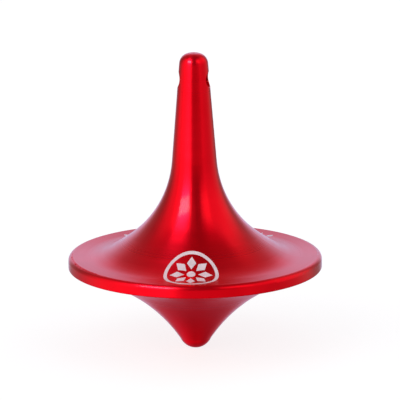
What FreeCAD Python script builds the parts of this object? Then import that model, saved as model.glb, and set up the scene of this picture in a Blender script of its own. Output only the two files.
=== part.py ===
import FreeCAD, Part
import math
import os
import Sketcher

# Spinning top, 45 mm across: a turned aluminium body that spins on a small ball in its nose.
# Frame: +Z up along the spin axis, origin at the ball's lowest point, cross hole along X.
# The front emblem faces about -Y, and the row of marks is on the opposite side.

DIMENSIONS = {
    # stem
    "total_height": 53.46,
    "stem_end_round": 1.88,
    # flare: three tangent arcs from the stem out to the flange, each with its own sweep
    "upper_flare_radius": 18.85,
    "upper_flare_sweep": 48.01,
    "lower_flare_radius": 34.6,
    "lower_flare_sweep": 7.73,
    "flare_foot_radius": 7.95,
    "flare_foot_sweep": 31.13,
    "flare_foot_reach": 19.35,
    # flange, nearly flat on top from the foot of the flare to the rim
    "flange_radius": 22.5,
    "flange_foot_height": 17.06,
    "flange_dish": 1.5,
    "rim_top_round": 0.8,
    "rim_bottom_round": 0.23,
    "rim_bottom_height": 15.1,
    # underside and nose
    "underside_radius": 30.53,
    "neck_radius": 1.62,
    "nose_radius": 3.0,
    "nose_base": 0.04,
    "nose_sweep": 64.9,
    # ball in the nose, held by a lip that is narrower than the ball
    "ball_radius": 1.5,
    "ball_clearance": 0.04,
    "lip_radius": 1.1,
    "seat_cut_below": 1.0,
    # cross hole near the stem's end
    "cord_hole_radius": 1.4,
    "cord_hole_height": 48.8,
    "cord_hole_edge_break": 0.1,
    # shallow fillings in the flange's top
    "mark_depth": 0.12,
    "mark_prism_height": 30.0,
    "emblem_turn": 4.5,
    "emblem_reach": 16.2,
    "emblem_ring_outer": 4.8,
    "emblem_ring_inner": 4.2,
    "emblem_dot_radius": 0.75,
    "petal_inner": 1.2,
    "petal_outer": 3.75,
    "petal_width": 1.6,
    "back_mark_reach": 18.9,
    "back_mark_length": 1.9,
    "back_mark_width": 1.1,
    "back_mark_span": 86.0,
}
PETAL_COUNT = 8
BACK_MARK_COUNT = 13

# Smallest volume in mm3 that counts as a real cut, and slack in mm when looking for an edge
LEAST_CUT = 10.0
EDGE_MARGIN = 0.05

Z_AXIS = FreeCAD.Vector(0, 0, 1)

doc = FreeCAD.newDocument("spinning_top")
sheet = doc.addObject("Spreadsheet::Sheet", "dims")
for row, (alias, value) in enumerate(DIMENSIONS.items(), start=1):
    sheet.set(f"A{row}", alias)
    sheet.set(f"B{row}", str(value))
    sheet.setAlias(f"B{row}", alias)
doc.recompute()


# ---------------------------------------------------------------- sketch helpers

def new_body(name):
    return doc.addObject("PartDesign::Body", name)


def new_sketch(body, name, plane):
    sketch = body.newObject("Sketcher::SketchObject", name)
    planes = [item for item in body.Origin.OriginFeatures if item.Role == plane]
    sketch.AttachmentSupport = [(planes[0], "")]
    sketch.MapMode = "FlatFace"
    return sketch


def point(x, y):
    return FreeCAD.Vector(x, y, 0)


def add_line(sketch, start, end):
    return sketch.addGeometry(Part.LineSegment(point(*start), point(*end)), False)


def add_arc(sketch, centre, radius, first_degrees, last_degrees):
    circle = Part.Circle(point(*centre), Z_AXIS, radius)
    arc = Part.ArcOfCircle(circle, math.radians(first_degrees), math.radians(last_degrees))
    return sketch.addGeometry(arc, False)


def add_circle(sketch, centre, radius):
    return sketch.addGeometry(Part.Circle(point(*centre), Z_AXIS, radius), False)


def relate(sketch, kind, *arguments):
    return sketch.addConstraint(Sketcher.Constraint(kind, *arguments))


def drive(sketch, expression, kind, *arguments):
    """Adds a dimension whose value follows the spreadsheet."""
    index = relate(sketch, kind, *arguments)
    sketch.setExpression(f"Constraints[{index}]", expression)


# Ends of a sketch element, and the sketch's own origin.
START, END, CENTRE = 1, 2, 3
ORIGIN = (-1, 1)


# ---------------------------------------------------------------- turned body

def draw_turned_profile(sketch):
    """Half section of the body, drawn near its final shape and then dimensioned."""
    top = add_line(sketch, (0, 53.46), (0.68, 53.46))
    stem_end = add_arc(sketch, (0.68, 51.58), 1.88, 4.63, 90)
    stem = add_line(sketch, (2.56, 51.73), (3.98, 34.12))
    upper_flare = add_arc(sketch, (22.77, 35.65), 18.85, 184.63, 232.64)
    lower_flare = add_arc(sketch, (32.31, 48.15), 34.6, 232.64, 240.37)
    foot = add_arc(sketch, (19.14, 25.0), 7.95, 240.37, 271.5)
    flange = add_line(sketch, (19.35, 17.06), (21.68, 17.12))
    rim_top = add_arc(sketch, (21.7, 16.32), 0.8, 0, 91.5)
    rim = add_line(sketch, (22.5, 16.32), (22.5, 15.1))
    rim_bottom = add_arc(sketch, (22.27, 15.1), 0.23, 281.2, 360)
    underside = add_arc(sketch, (28.24, -15.08), 30.53, 101.2, 146.1)
    neck = add_arc(sketch, (4.19, 1.04), 1.62, 146.1, 154.9)
    nose = add_arc(sketch, (0, 3.04), 3.0, 270, 334.9)
    axis = add_line(sketch, (0, 0.04), (0, 53.46))

    chain = [
        (top, END, stem_end, END),
        (stem_end, START, stem, START),
        (stem, END, upper_flare, START),
        (upper_flare, END, lower_flare, START),
        (lower_flare, END, foot, START),
        (foot, END, flange, START),
        (flange, END, rim_top, END),
        (rim_top, START, rim, START),
        (rim, END, rim_bottom, END),
        (rim_bottom, START, underside, START),
        (underside, END, neck, START),
        (neck, END, nose, END),
    ]
    for link in chain:
        relate(sketch, "Tangent", *link)
    relate(sketch, "Coincident", nose, START, axis, START)
    relate(sketch, "Coincident", axis, END, top, START)
    relate(sketch, "Vertical", axis)
    relate(sketch, "Horizontal", top)
    relate(sketch, "Vertical", rim)
    relate(sketch, "PointOnObject", axis, START, -2)
    relate(sketch, "PointOnObject", nose, CENTRE, -2)

    drive(sketch, "dims.total_height", "DistanceY", *ORIGIN, axis, END, 53.46)
    drive(sketch, "dims.stem_end_round", "Radius", stem_end, 1.88)
    drive(sketch, "dims.upper_flare_radius", "Radius", upper_flare, 18.85)
    drive(sketch, "dims.upper_flare_sweep * 1deg", "Angle", upper_flare, math.radians(48.01))
    drive(sketch, "dims.lower_flare_radius", "Radius", lower_flare, 34.6)
    drive(sketch, "dims.lower_flare_sweep * 1deg", "Angle", lower_flare, math.radians(7.73))
    drive(sketch, "dims.flare_foot_radius", "Radius", foot, 7.95)
    drive(sketch, "dims.flare_foot_sweep * 1deg", "Angle", foot, math.radians(31.13))
    drive(sketch, "dims.flare_foot_reach", "DistanceX", *ORIGIN, flange, START, 19.35)
    drive(sketch, "dims.flange_foot_height", "DistanceY", *ORIGIN, flange, START, 17.06)
    drive(sketch, "dims.flange_dish * 1deg", "Angle", flange, math.radians(1.5))
    drive(sketch, "dims.flange_radius", "DistanceX", *ORIGIN, rim, START, 22.5)
    drive(sketch, "dims.rim_top_round", "Radius", rim_top, 0.8)
    drive(sketch, "dims.rim_bottom_round", "Radius", rim_bottom, 0.23)
    drive(sketch, "dims.rim_bottom_height", "DistanceY", *ORIGIN, rim, END, 15.1)
    drive(sketch, "dims.underside_radius", "Radius", underside, 30.53)
    drive(sketch, "dims.neck_radius", "Radius", neck, 1.62)
    drive(sketch, "dims.nose_radius", "Radius", nose, 3.0)
    drive(sketch, "dims.nose_base", "DistanceY", *ORIGIN, nose, START, 0.04)
    drive(sketch, "dims.nose_sweep * 1deg", "Angle", nose, math.radians(64.9))


def revolve(body, kind, name, sketch):
    feature = body.newObject(kind, name)
    feature.Profile = sketch
    feature.ReferenceAxis = (sketch, ["V_Axis"])
    feature.Angle = 360
    body.Tip = feature
    return feature


def draw_ball_seat(sketch):
    """Half section of the round seat and of the narrower opening below it."""
    seat = add_arc(sketch, (0, 1.5), 1.54, 315.6, 450)
    lip = add_line(sketch, (1.1, 0.42), (1.1, -1))
    below = add_line(sketch, (1.1, -1), (0, -1))
    axis = add_line(sketch, (0, -1), (0, 3.04))
    relate(sketch, "Coincident", seat, START, lip, START)
    relate(sketch, "Coincident", lip, END, below, START)
    relate(sketch, "Coincident", below, END, axis, START)
    relate(sketch, "Coincident", axis, END, seat, END)
    relate(sketch, "Vertical", lip)
    relate(sketch, "Horizontal", below)
    relate(sketch, "PointOnObject", axis, START, -2)
    relate(sketch, "PointOnObject", axis, END, -2)
    relate(sketch, "PointOnObject", seat, CENTRE, -2)
    drive(sketch, "dims.ball_radius + dims.ball_clearance", "Radius", seat, 1.54)
    drive(sketch, "dims.ball_radius", "DistanceY", *ORIGIN, seat, CENTRE, 1.5)
    drive(sketch, "dims.lip_radius", "DistanceX", *ORIGIN, lip, START, 1.1)
    drive(sketch, "dims.seat_cut_below", "DistanceY", axis, START, *ORIGIN, 1.0)


def make_turned_body():
    body = new_body("turned_body")
    profile = new_sketch(body, "turned_profile", "XZ_Plane")
    draw_turned_profile(profile)
    turned = revolve(body, "PartDesign::Revolution", "turning", profile)
    doc.recompute()
    solid_volume = turned.Shape.Volume

    seat_sketch = new_sketch(body, "ball_seat_section", "XZ_Plane")
    draw_ball_seat(seat_sketch)
    seat = revolve(body, "PartDesign::Groove", "ball_seat", seat_sketch)
    doc.recompute()
    seated_volume = seat.Shape.Volume

    hole_sketch = new_sketch(body, "cord_hole_section", "YZ_Plane")
    hole_circle = add_circle(hole_sketch, (0, 48.8), 1.4)
    relate(hole_sketch, "PointOnObject", hole_circle, CENTRE, -2)
    drive(hole_sketch, "dims.cord_hole_radius", "Radius", hole_circle, 1.4)
    drive(hole_sketch, "dims.cord_hole_height", "DistanceY", *ORIGIN, hole_circle, CENTRE, 48.8)
    hole = body.newObject("PartDesign::Pocket", "cord_hole")
    hole.Profile = hole_sketch
    hole.Type = "ThroughAll"
    hole.Midplane = True
    body.Tip = hole
    doc.recompute()

    assert seated_volume < solid_volume - LEAST_CUT, "the ball seat cut nothing"
    assert hole.Shape.Volume < seated_volume - LEAST_CUT, "the cord hole cut nothing"
    break_cord_hole_edges(body, hole)
    return body


def break_cord_hole_edges(body, hole):
    """Small chamfer where the cord hole comes out on each side of the stem."""
    low = sheet.cord_hole_height - sheet.cord_hole_radius - EDGE_MARGIN
    high = sheet.cord_hole_height + sheet.cord_hole_radius + EDGE_MARGIN
    names = []
    for number, edge in enumerate(hole.Shape.Edges, start=1):
        box = edge.BoundBox
        if box.ZMin > low and box.ZMax < high and box.YLength > sheet.cord_hole_radius:
            names.append(f"Edge{number}")
    edges = body.newObject("PartDesign::Chamfer", "cord_hole_edges")
    edges.Base = (hole, names)
    edges.setExpression("Size", "dims.cord_hole_edge_break")
    body.Tip = edges


# ---------------------------------------------------------------- ball

def make_tip_ball():
    ball = doc.addObject("Part::Sphere", "tip_ball")
    ball.setExpression("Radius", "dims.ball_radius")
    ball.setExpression("Placement.Base.z", "dims.ball_radius")
    return ball


# ---------------------------------------------------------------- marks on the flange

def draw_diamond(sketch, near, far, width, near_rule, far_rule, width_rule):
    """Four-sided mark that points outwards along the sketch's vertical axis."""
    middle = (near + far) / 2
    corners = [(0, near), (width / 2, middle), (0, far), (-width / 2, middle)]
    sides = []
    for index, corner in enumerate(corners):
        sides.append(add_line(sketch, corner, corners[(index + 1) % 4]))
    for index, side in enumerate(sides):
        relate(sketch, "Coincident", side, END, sides[(index + 1) % 4], START)
    for side in sides[1:]:
        relate(sketch, "Equal", sides[0], side)
    relate(sketch, "PointOnObject", sides[0], START, -2)
    relate(sketch, "PointOnObject", sides[2], START, -2)
    drive(sketch, near_rule, "DistanceY", *ORIGIN, sides[0], START, near)
    drive(sketch, far_rule, "DistanceY", *ORIGIN, sides[2], START, far)
    drive(sketch, width_rule, "DistanceX", sides[3], START, sides[1], START, width)


def extruded(name, sketch_feature):
    """Upright prism over a free-standing outline; it may hold several solids."""
    prism = doc.addObject("Part::Extrusion", name)
    prism.Base = sketch_feature
    prism.DirMode = "Custom"
    prism.Dir = Z_AXIS
    prism.Solid = True
    prism.setExpression("LengthFwd", "dims.mark_prism_height")
    return prism


def free_sketch(name):
    return doc.addObject("Sketcher::SketchObject", name)


def make_emblem_prisms():
    """Plain rosette in plan, drawn about its own centre: a ring, a dot and a circle of petals."""
    ring_sketch = free_sketch("emblem_ring_outline")
    outer = add_circle(ring_sketch, (0, 0), 4.8)
    inner = add_circle(ring_sketch, (0, 0), 4.2)
    relate(ring_sketch, "Coincident", outer, CENTRE, *ORIGIN)
    relate(ring_sketch, "Coincident", inner, CENTRE, *ORIGIN)
    drive(ring_sketch, "dims.emblem_ring_outer", "Radius", outer, 4.8)
    drive(ring_sketch, "dims.emblem_ring_inner", "Radius", inner, 4.2)

    dot_sketch = free_sketch("emblem_dot_outline")
    dot = add_circle(dot_sketch, (0, 0), 0.75)
    relate(dot_sketch, "Coincident", dot, CENTRE, *ORIGIN)
    drive(dot_sketch, "dims.emblem_dot_radius", "Radius", dot, 0.75)

    petal_sketch = free_sketch("petal_outline")
    draw_diamond(petal_sketch, 1.2, 3.75, 1.6,
                 "dims.petal_inner", "dims.petal_outer", "dims.petal_width")

    prisms = [extruded("emblem_ring", ring_sketch), extruded("emblem_dot", dot_sketch)]
    for index in range(PETAL_COUNT):
        petal = extruded(f"petal_{index + 1}", petal_sketch)
        petal.Placement.Rotation = FreeCAD.Rotation(Z_AXIS, index * 360 / PETAL_COUNT)
        prisms.append(petal)
    return prisms


def make_back_mark_prisms():
    """Row of plain diamonds round the back, each placed by its own angle."""
    outline = free_sketch("back_mark_outline")
    draw_diamond(outline, 17.95, 19.85, 1.1,
                 "dims.back_mark_reach - dims.back_mark_length / 2",
                 "dims.back_mark_reach + dims.back_mark_length / 2",
                 "dims.back_mark_width")
    prisms = []
    step = sheet.back_mark_span / (BACK_MARK_COUNT - 1)
    for index in range(BACK_MARK_COUNT):
        mark = extruded(f"back_mark_{index + 1}", outline)
        angle = sheet.emblem_turn - sheet.back_mark_span / 2 + index * step
        mark.Placement.Rotation = FreeCAD.Rotation(Z_AXIS, angle)
        prisms.append(mark)
    return prisms


def group(name, pieces):
    compound = doc.addObject("Part::Compound", name)
    compound.Links = pieces
    return compound


def place_emblem(compound):
    """Moves the rosette out onto the flange, turned a little from -Y."""
    turn = FreeCAD.Rotation(Z_AXIS, sheet.emblem_turn)
    outwards = turn.multVec(FreeCAD.Vector(0, -sheet.emblem_reach, 0))
    compound.Placement = FreeCAD.Placement(outwards, turn)


def fill_surface(name, prisms, body, lowered):
    """Thin layer of the body's own top surface that lies inside the prisms."""
    inside = doc.addObject("Part::Common", f"{name}_column")
    inside.Base = prisms
    inside.Tool = body
    layer = doc.addObject("Part::Cut", name)
    layer.Base = inside
    layer.Tool = lowered
    return layer


# ---------------------------------------------------------------- assembly

turned_body = make_turned_body()
tip_ball = make_tip_ball()

lowered_body = doc.addObject("App::Link", "lowered_body")
lowered_body.LinkedObject = turned_body
lowered_body.setExpression("Placement.Base.z", "-dims.mark_depth")

emblem_prisms = group("emblem_prisms", make_emblem_prisms())
place_emblem(emblem_prisms)
back_prisms = group("back_prisms", make_back_mark_prisms())
doc.recompute()

front_emblem = fill_surface("front_emblem", emblem_prisms, turned_body, lowered_body)
back_marks = fill_surface("back_marks", back_prisms, turned_body, lowered_body)
front_cut = doc.addObject("Part::Cut", "front_cut")
front_cut.Base = turned_body
front_cut.Tool = front_emblem
top_body = doc.addObject("Part::Cut", "top_body")
top_body.Base = front_cut
top_body.Tool = back_marks
doc.recompute()

for item in doc.Objects:
    if "Invalid" in item.State or "Error" in item.State:
        raise RuntimeError(f"{item.Name} failed: {item.State}")
    if item.TypeId == "Sketcher::SketchObject" and not item.FullyConstrained:
        raise RuntimeError(f"{item.Name} is not fully constrained")

os.makedirs("parts", exist_ok=True)
for node, item in (("top_body", top_body), ("tip_ball", tip_ball),
                   ("front_emblem", front_emblem), ("back_marks", back_marks)):
    item.Label = node
    shape = item.Shape
    if shape.isNull() or not shape.isValid():
        raise RuntimeError(f"{node} has no valid shape")
    shape.exportStep(f"parts/{node}.step")
    box = shape.optimalBoundingBox()
    print(f"{node}: {len(shape.Solids)} solids, {shape.Volume:.2f} mm3, "
          f"x {box.XMin:.2f}..{box.XMax:.2f}, y {box.YMin:.2f}..{box.YMax:.2f}, "
          f"z {box.ZMin:.2f}..{box.ZMax:.2f}")
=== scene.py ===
import math

import bpy
from mathutils import Matrix, Vector


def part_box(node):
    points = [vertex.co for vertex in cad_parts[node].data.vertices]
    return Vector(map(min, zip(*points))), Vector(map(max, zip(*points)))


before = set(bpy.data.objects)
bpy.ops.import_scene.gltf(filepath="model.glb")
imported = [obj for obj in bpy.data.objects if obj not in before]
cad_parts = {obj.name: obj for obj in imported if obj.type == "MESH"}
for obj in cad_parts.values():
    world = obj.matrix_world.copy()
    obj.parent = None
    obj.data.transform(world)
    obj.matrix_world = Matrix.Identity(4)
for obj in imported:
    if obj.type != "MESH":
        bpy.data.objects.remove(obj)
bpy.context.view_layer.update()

# Spinning top in red anodised aluminium, standing on its tip on a plain pale floor.
# Lengths are in metres, angles in degrees. Azimuth 0 looks along +Y and grows towards +X.

MM = 0.001

# Camera: a long lens, a little above the flange
CAMERA_AZIMUTH = 7.0
CAMERA_ELEVATION = 13.48
CAMERA_DISTANCE = 0.6667
CAMERA_LENS = 339.3
CAMERA_ROLL = 0.42
AIM_RIGHT = 0.939 * MM
AIM_HEIGHT = 26.986 * MM

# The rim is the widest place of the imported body
RIM_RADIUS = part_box("top_body")[1].x

WHITE = (1, 1, 1, 1)


# ---------------------------------------------------------------- node helpers

class Graph:
    """Short way to add and join shader nodes."""

    def __init__(self, tree):
        self.tree = tree
        tree.nodes.clear()

    def add(self, kind, **settings):
        node = self.tree.nodes.new(kind)
        for name, value in settings.items():
            setattr(node, name, value)
        return node

    def feed(self, socket, value):
        if isinstance(value, bpy.types.NodeSocket):
            self.tree.links.new(value, socket)
        else:
            socket.default_value = value

    def math(self, operation, first, second=0.0):
        node = self.add("ShaderNodeMath", operation=operation)
        self.feed(node.inputs[0], first)
        self.feed(node.inputs[1], second)
        return node.outputs[0]

    def remap(self, value, low, high, to_low=0.0, to_high=1.0):
        """Smooth step from low to high, clamped at both ends."""
        node = self.add("ShaderNodeMapRange", interpolation_type="SMOOTHSTEP")
        for name, number in (("Value", value), ("From Min", low), ("From Max", high),
                             ("To Min", to_low), ("To Max", to_high)):
            self.feed(node.inputs[name], number)
        return node.outputs["Result"]

    def band(self, value, low, high, fade_in, fade_out):
        """1 between low and high, fading to 0 over a width of its own on each side."""
        rising = self.remap(value, low - fade_in, low)
        falling = self.remap(value, high, high + fade_out, 1.0, 0.0)
        return self.math("MULTIPLY", rising, falling)

    def noise(self, vector, scale, detail=2.0, roughness=0.5):
        node = self.add("ShaderNodeTexNoise")
        self.feed(node.inputs["Vector"], vector)
        self.feed(node.inputs["Scale"], scale)
        self.feed(node.inputs["Detail"], detail)
        self.feed(node.inputs["Roughness"], roughness)
        return node.outputs["Fac"]

    def mix(self, factor, first, second):
        node = self.add("ShaderNodeMix", data_type="RGBA")
        self.feed(next(i for i in node.inputs if i.identifier == "Factor_Float"), factor)
        self.feed(next(i for i in node.inputs if i.identifier == "A_Color"), first)
        self.feed(next(i for i in node.inputs if i.identifier == "B_Color"), second)
        return next(o for o in node.outputs if o.identifier == "Result_Color")


def new_material(name):
    material = bpy.data.materials.new(name)
    material.use_nodes = True
    graph = Graph(material.node_tree)
    shader = graph.add("ShaderNodeBsdfPrincipled")
    output = graph.add("ShaderNodeOutputMaterial")
    graph.feed(output.inputs["Surface"], shader.outputs["BSDF"])
    return material, graph, shader


def lathe_coordinates(graph):
    """Distance from the spin axis, height, and both as a vector that is constant round the top."""
    place = graph.add("ShaderNodeTexCoord").outputs["Object"]
    parts = graph.add("ShaderNodeSeparateXYZ")
    graph.feed(parts.inputs[0], place)
    squares = graph.math("ADD", graph.math("MULTIPLY", parts.outputs["X"], parts.outputs["X"]),
                         graph.math("MULTIPLY", parts.outputs["Y"], parts.outputs["Y"]))
    radius = graph.math("SQRT", squares)
    rings = graph.add("ShaderNodeCombineXYZ")
    graph.feed(rings.inputs["X"], radius)
    graph.feed(rings.inputs["Z"], parts.outputs["Z"])
    return place, radius, parts.outputs["Z"], rings.outputs[0]


# ---------------------------------------------------------------- materials

def anodised_material():
    """Dyed aluminium under a clear oxide layer, with the tool's fine rings."""
    material, graph, shader = new_material("red_anodised")
    place, radius, height, rings = lathe_coordinates(graph)

    cloud = graph.noise(place, 90.0, 3.0)
    deep_red, bright_red = (0.77, 0.001, 0.008, 1), (0.84, 0.002, 0.011, 1)
    tint = graph.mix(graph.remap(cloud, 0.35, 0.65), deep_red, bright_red)

    # Thin pale wear where the rim meets the table and where the nose rubs
    rim_wear_full, rim_wear_end = 14.88 * MM, 15.10 * MM
    nose_wear_full, nose_wear_end = 0.30 * MM, 0.75 * MM
    worn_red = (0.80, 0.46, 0.48, 1)
    scuffs = graph.remap(graph.noise(place, 1400.0, 4.0, 0.7), 0.56, 0.72)
    at_rim = graph.remap(radius, RIM_RADIUS - 0.16 * MM, RIM_RADIUS - 0.02 * MM)
    low_rim = graph.remap(height, rim_wear_full, rim_wear_end, 1.0, 0.0)
    at_nose = graph.remap(height, nose_wear_full, nose_wear_end, 1.0, 0.0)
    worn = graph.math("MAXIMUM", graph.math("MULTIPLY", at_rim, low_rim), at_nose)
    wear = graph.math("MULTIPLY", graph.math("MULTIPLY", worn, scuffs), 0.45)
    graph.feed(shader.inputs["Base Color"], graph.mix(wear, tint, worn_red))

    # Tool rings: one fine set about 0.2 mm apart and one broad, uneven set
    fine_rings = graph.noise(rings, 4200.0, 1.0)
    broad_rings = graph.noise(rings, 600.0, 2.0)
    roughness = graph.math("ADD", graph.math("MULTIPLY", broad_rings, 0.12), 0.23)
    worn_roughness = graph.math("ADD", roughness, graph.math("MULTIPLY", wear, 0.2))
    graph.feed(shader.inputs["Roughness"], worn_roughness)
    bump = graph.add("ShaderNodeBump")
    graph.feed(bump.inputs["Height"], fine_rings)
    graph.feed(bump.inputs["Strength"], 0.35)
    graph.feed(bump.inputs["Distance"], 0.012 * MM)
    graph.feed(shader.inputs["Normal"], bump.outputs["Normal"])

    tangent = graph.add("ShaderNodeTangent", direction_type="RADIAL", axis="Z")
    graph.feed(shader.inputs["Tangent"], tangent.outputs[0])
    # Light spreads across the tool rings, so a quarter turn away from the way round
    shader.inputs["Anisotropic"].default_value = 0.8
    shader.inputs["Anisotropic Rotation"].default_value = 0.25
    shader.inputs["Metallic"].default_value = 1.0
    shader.inputs["Specular Tint"].default_value = WHITE
    shader.inputs["Coat Weight"].default_value = 0.05
    shader.inputs["Coat IOR"].default_value = 1.5
    shader.inputs["Coat Roughness"].default_value = 0.14
    return material


def etched_material():
    """Bare metal left matt and pale by etching, with a fine frosted grain."""
    material, graph, shader = new_material("etched_mark")
    place = graph.add("ShaderNodeTexCoord").outputs["Object"]
    grain = graph.noise(place, 5200.0, 3.0, 0.6)
    blotches = graph.noise(place, 700.0, 2.0)
    shade = graph.math("ADD", graph.math("MULTIPLY", grain, 0.5),
                       graph.math("MULTIPLY", blotches, 0.5))
    dull_metal, pale_metal = (0.72, 0.61, 0.66, 1), (0.86, 0.73, 0.79, 1)
    graph.feed(shader.inputs["Base Color"],
               graph.mix(graph.remap(shade, 0.35, 0.65), dull_metal, pale_metal))
    graph.feed(shader.inputs["Roughness"], graph.remap(grain, 0.3, 0.7, 0.42, 0.62))
    bump = graph.add("ShaderNodeBump")
    graph.feed(bump.inputs["Height"], grain)
    graph.feed(bump.inputs["Strength"], 0.3)
    graph.feed(bump.inputs["Distance"], 0.01 * MM)
    graph.feed(shader.inputs["Normal"], bump.outputs["Normal"])
    shader.inputs["Metallic"].default_value = 0.25
    return material


def ball_material():
    """Polished hard ball with a slightly duller spot where it runs."""
    material, graph, shader = new_material("polished_ball")
    place, _, height, _ = lathe_coordinates(graph)
    spot = graph.remap(height, 0.02 * MM, 0.12 * MM, 1.0, 0.0)
    haze = graph.noise(place, 2600.0, 3.0)
    polished, rubbed = (0.78, 0.78, 0.80, 1), (0.52, 0.52, 0.54, 1)
    graph.feed(shader.inputs["Base Color"], graph.mix(spot, polished, rubbed))
    polish = graph.math("ADD", graph.math("MULTIPLY", haze, 0.05), 0.05)
    graph.feed(shader.inputs["Roughness"],
               graph.math("ADD", polish, graph.math("MULTIPLY", spot, 0.25)))
    shader.inputs["Metallic"].default_value = 1.0
    return material


def floor_material():
    """Translucent matt sheet lit from below, as on a light table, so it looks pale."""
    material, graph, shader = new_material("pale_floor")
    place = graph.add("ShaderNodeTexCoord").outputs["Object"]
    tone = graph.remap(graph.noise(place, 8.0, 2.0), 0.3, 0.7)
    darker, lighter = (0.24, 0.24, 0.245, 1), (0.26, 0.26, 0.262, 1)
    graph.feed(shader.inputs["Base Color"], graph.mix(tone, darker, lighter))
    shader.inputs["Roughness"].default_value = 0.9
    shader.inputs["Emission Color"].default_value = WHITE
    shader.inputs["Emission Strength"].default_value = 0.8
    return material


def dress(node, material):
    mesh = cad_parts[node].data
    mesh.materials.clear()
    mesh.materials.append(material)


# ---------------------------------------------------------------- studio

def direction(azimuth, elevation):
    """Unit vector from the object towards a place in the studio."""
    a, e = math.radians(azimuth), math.radians(elevation)
    return Vector((math.sin(a) * math.cos(e), -math.cos(a) * math.cos(e), math.sin(e)))


def make_floor():
    half_width = 6.0
    mesh = bpy.data.meshes.new("floor")
    corners = [(x * half_width, y * half_width, 0) for x, y in ((-1, -1), (1, -1), (1, 1), (-1, 1))]
    mesh.from_pydata(corners, [], [(0, 1, 2, 3)])
    floor = bpy.data.objects.new("floor", mesh)
    bpy.context.scene.collection.objects.link(floor)
    mesh.materials.append(floor_material())
    # The studio surround below already holds the floor's reflection
    floor.visible_glossy = False


def make_backdrop():
    """Round white wall seen by the camera alone, so that low views end in white."""
    sides, radius, height = 96, 2.0, 2.0
    turns = [math.tau * k / sides for k in range(sides)]
    corners = [(radius * math.cos(t), radius * math.sin(t), z)
               for z in (0.0, height) for t in turns]
    faces = [(k, (k + 1) % sides, sides + (k + 1) % sides, sides + k) for k in range(sides)]
    mesh = bpy.data.meshes.new("backdrop")
    mesh.from_pydata(corners, [], faces)
    material, _, shader = new_material("white_wall")
    shader.inputs["Base Color"].default_value = (0, 0, 0, 1)
    shader.inputs["Emission Color"].default_value = WHITE
    shader.inputs["Emission Strength"].default_value = 1.0
    mesh.materials.append(material)
    backdrop = bpy.data.objects.new("backdrop", mesh)
    bpy.context.scene.collection.objects.link(backdrop)
    backdrop.visible_diffuse = False
    backdrop.visible_glossy = False
    backdrop.visible_transmission = False
    backdrop.visible_volume_scatter = False
    backdrop.visible_shadow = False


def make_surround():
    """Soft panels of a studio round the object, told by their directions from it."""
    world = bpy.data.worlds.new("studio")
    bpy.context.scene.world = world
    world.use_nodes = True
    graph = Graph(world.node_tree)
    ray = graph.add("ShaderNodeSeparateXYZ")
    graph.feed(ray.inputs[0], graph.add("ShaderNodeTexCoord").outputs["Generated"])
    # Azimuth is 0 towards the camera here and grows to its right
    turn = math.radians(CAMERA_AZIMUTH)
    right, front = (math.cos(turn), math.sin(turn)), (math.sin(turn), -math.cos(turn))
    side, facing = [graph.math("ADD", graph.math("MULTIPLY", ray.outputs["X"], axis[0]),
                               graph.math("MULTIPLY", ray.outputs["Y"], axis[1]))
                    for axis in (right, front)]
    azimuth = graph.math("DEGREES", graph.math("ARCTAN2", side, facing))
    elevation = graph.math("DEGREES", graph.math("ARCSINE", ray.outputs["Z"]))
    away = graph.math("ABSOLUTE", azimuth)

    # Each panel: azimuth from, to, fade in, fade out; elevation the same four; radiance
    neutral_panels = [
        (azimuth, -86, -25, 42, 17, -14, 44, 10, 12, 0.75),
        (azimuth, -66, -27, 16, 6, -6, 42, 6, 10, 0.6),
        (azimuth, -72, -8, 18, 12, 40, 56, 10, 10, 0.30),
        (azimuth, 34, 112, 14, 30, 18, 50, 12, 10, 0.35),
        (azimuth, 50, 118, 18, 24, -14, 50, 8, 10, 0.38),
        (azimuth, 27, 50, 6, 12, 30, 48, 12, 8, 0.85),
    ]
    lavender_panels = [
        (away, 160, 181, 13, 1, -2, 24, 10, 10, 0.36),
        (away, 168, 177, 5, 3, 15, 20, 4, 4, 0.12),
        (away, 168, 181, 14, 1, -28, -8, 8, 6, 0.34),
    ]
    red_panels = [
        (azimuth, -110, 30, 60, 60, -50, -12, 40, 3, 0.45),
        (azimuth, -25, 25, 20, 20, -20, -12, 6, 3, 0.30),
        (away, -1, 181, 1, 1, -90, -40, 1, 20, 0.28),
        (away, 152, 181, 10, 1, 28, 56, 8, 10, 0.26),
    ]

    def lit(panels, total):
        for panel in panels:
            across = graph.band(*panel[:5])
            upright = graph.band(elevation, *panel[5:9])
            radiance = panel[9]
            light = graph.math("MULTIPLY", graph.math("MULTIPLY", across, upright), radiance)
            total = graph.math("ADD", total, light)
        return total

    # Everything low is darker, and the table gives back the top's own red
    low_down = graph.remap(elevation, -60, -15, 0.08, 0.32)
    lavender, table_red = (1.0, 1.65, 2.6, 1), (1.0, 0.14, 0.45, 1)
    shaders = []
    for colour, strength in ((WHITE, lit(neutral_panels, low_down)),
                             (lavender, lit(lavender_panels, 0.0)),
                             (table_red, lit(red_panels, 0.0))):
        background = graph.add("ShaderNodeBackground")
        graph.feed(background.inputs["Color"], colour)
        graph.feed(background.inputs["Strength"], strength)
        shaders.append(background.outputs[0])
    total = shaders[0]
    for shader in shaders[1:]:
        both = graph.add("ShaderNodeAddShader")
        graph.feed(both.inputs[0], total)
        graph.feed(both.inputs[1], shader)
        total = both.outputs[0]
    output = graph.add("ShaderNodeOutputWorld")
    graph.feed(output.inputs["Surface"], total)


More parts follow.
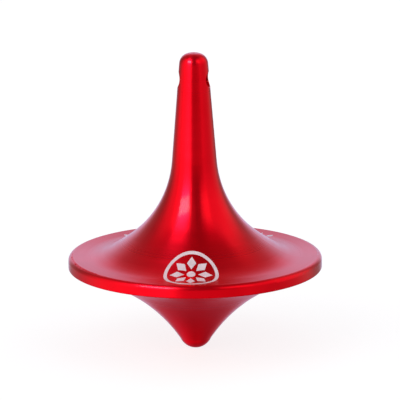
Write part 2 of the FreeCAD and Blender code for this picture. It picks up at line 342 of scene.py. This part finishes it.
def make_lamp(name, azimuth, elevation, width, height, power, colour=(1, 1, 1)):
    """Square-edged soft lamp that shines on the object from a place in the studio."""
    distance = 0.9
    light = bpy.data.lights.new(name, "AREA")
    light.shape = "RECTANGLE"
    light.size = width
    light.size_y = height
    light.energy = power
    light.color = colour
    lamp = bpy.data.objects.new(name, light)
    bpy.context.scene.collection.objects.link(lamp)
    towards = direction(azimuth, elevation)
    lamp.location = Vector((0, 0, AIM_HEIGHT)) + towards * distance
    lamp.rotation_euler = towards.to_track_quat("Z", "Y").to_euler()
    lamp.visible_camera = False
    return lamp


def make_lamps():
    """Two weak lamps for matt surfaces, and the glare of the key on the red metal alone."""
    overhead = make_lamp("overhead", 20, 78, 0.8, 0.8, 1.0)
    front_fill = make_lamp("front_fill", -30, 35, 0.5, 0.5, 0.6)
    # The surround already holds their reflections
    overhead.visible_glossy = False
    front_fill.visible_glossy = False

    # The dye takes out nearly all but red, so a lamp short of red comes back whitish
    short_of_red = (0.30, 1.0, 0.70)
    glare = make_lamp("key_glare", CAMERA_AZIMUTH - 39, 36, 0.44, 0.26, 20.0, short_of_red)
    glare.visible_diffuse = False
    red_metal = bpy.data.collections.new("red_metal")
    red_metal.objects.link(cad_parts["top_body"])
    glare.light_linking.receiver_collection = red_metal


def make_camera():
    """Long lens, a little above the flange and very slightly rolled."""
    data = bpy.data.cameras.new("camera")
    data.lens = CAMERA_LENS
    data.sensor_width = 36.0
    camera = bpy.data.objects.new("camera", data)
    bpy.context.scene.collection.objects.link(camera)
    back = direction(CAMERA_AZIMUTH, CAMERA_ELEVATION)
    level_right = Vector((0, 0, 1)).cross(back).normalized()
    level_up = back.cross(level_right)
    roll = math.radians(CAMERA_ROLL)
    right = level_right * math.cos(roll) - level_up * math.sin(roll)
    up = level_right * math.sin(roll) + level_up * math.cos(roll)
    aim = level_right * AIM_RIGHT + Vector((0, 0, AIM_HEIGHT))
    turn = Matrix((right, up, back)).transposed()
    camera.matrix_world = Matrix.Translation(aim + back * CAMERA_DISTANCE) @ turn.to_4x4()
    bpy.context.scene.camera = camera


# ---------------------------------------------------------------- scene

dress("top_body", anodised_material())
dress("tip_ball", ball_material())
etched = etched_material()
dress("front_emblem", etched)
dress("back_marks", etched)

make_floor()
make_backdrop()
make_surround()
make_lamps()
make_camera()
bpy.context.scene.view_settings.view_transform = "Standard"
